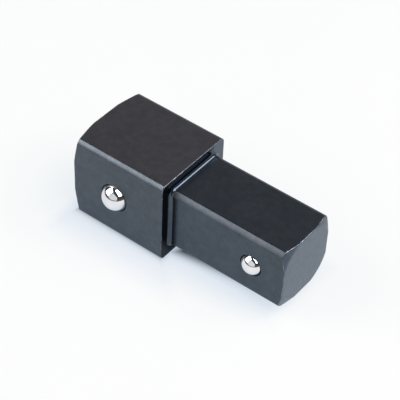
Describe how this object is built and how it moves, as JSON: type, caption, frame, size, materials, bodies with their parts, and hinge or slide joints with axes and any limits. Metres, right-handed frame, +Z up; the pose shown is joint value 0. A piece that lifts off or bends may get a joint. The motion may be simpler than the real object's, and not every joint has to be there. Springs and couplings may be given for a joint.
{
  "type": "square drive adapter",
  "caption": "Solid steel adapter that steps from a large male drive square to a smaller one, with a spring-loaded detent ball in one face of each square.",
  "frame": {"origin": "middle of the flat end face of the large drive square, on the drive axis", "axes": "+X along the drive axis from the large end to the small end, -Y out of the faces that hold the detent balls, +Z up"},
  "size_m": [0.0648, 0.0283, 0.0254],
  "materials": {
    "black_oxide_steel": "satin black oxide",
    "ball_steel": "polished",
    "spring_steel": "drawn wire"
  },
  "bodies": {
    "adapter": {"adapter_body": "black_oxide_steel", "large_detent_spring": "spring_steel", "small_detent_spring": "spring_steel"},
    "large_ball": {"large_detent_ball": "ball_steel"},
    "small_ball": {"small_detent_ball": "ball_steel"}
  },
  "joints": [
    {"name": "large_ball_press", "type": "slide", "parent": "adapter", "child": "large_ball", "axis": [0, 1, 0], "range_m": [0, 0.0029], "stiffness_N_per_m": 2000, "springref_m": -0.001, "deforming": ["large_detent_spring"]},
    {"name": "small_ball_press", "type": "slide", "parent": "adapter", "child": "small_ball", "axis": [0, 1, 0], "range_m": [0, 0.00175], "stiffness_N_per_m": 1500, "springref_m": -0.001, "deforming": ["small_detent_spring"]}
  ]
}
